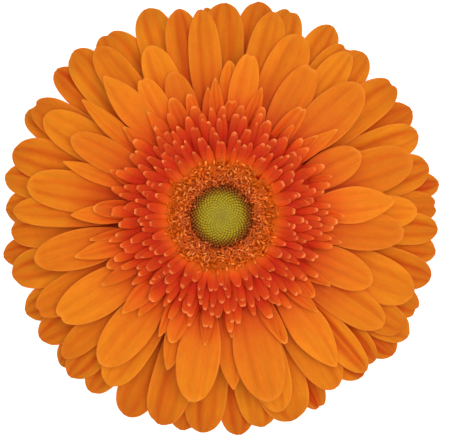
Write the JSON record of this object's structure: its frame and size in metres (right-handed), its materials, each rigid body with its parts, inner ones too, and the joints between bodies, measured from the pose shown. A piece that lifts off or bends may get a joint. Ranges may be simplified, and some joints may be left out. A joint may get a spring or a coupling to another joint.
{
  "type": "gerbera daisy bloom",
  "caption": "Cut orange gerbera daisy bloom lying face up: layered strap petals round a ruff of short florets and a green eye.",
  "frame": {"origin": "centre of the stem's cut face, which lies on the surface", "axes": "+Z along the flower's axis, from the cut stem to the eye; +Y towards the top of the bloom as it is seen from the front; +X to the right in that view"},
  "size_m": [0.1104, 0.1098, 0.0279],
  "materials": {
    "stem_green": "satin",
    "bract_green": "satin",
    "ray_orange": "satin",
    "trans_red_orange": "satin",
    "disc_orange": "satin",
    "bud_green_maroon": "satin"
  },
  "bodies": {
    "root": {"stem": "stem_green", "involucre": "bract_green", "back_ray_florets": "ray_orange", "middle_ray_florets": "ray_orange", "front_ray_florets": "ray_orange", "trans_florets": "trans_red_orange", "disc_florets": "disc_orange", "disc_buds": "bud_green_maroon"}
  },
  "joints": []
}
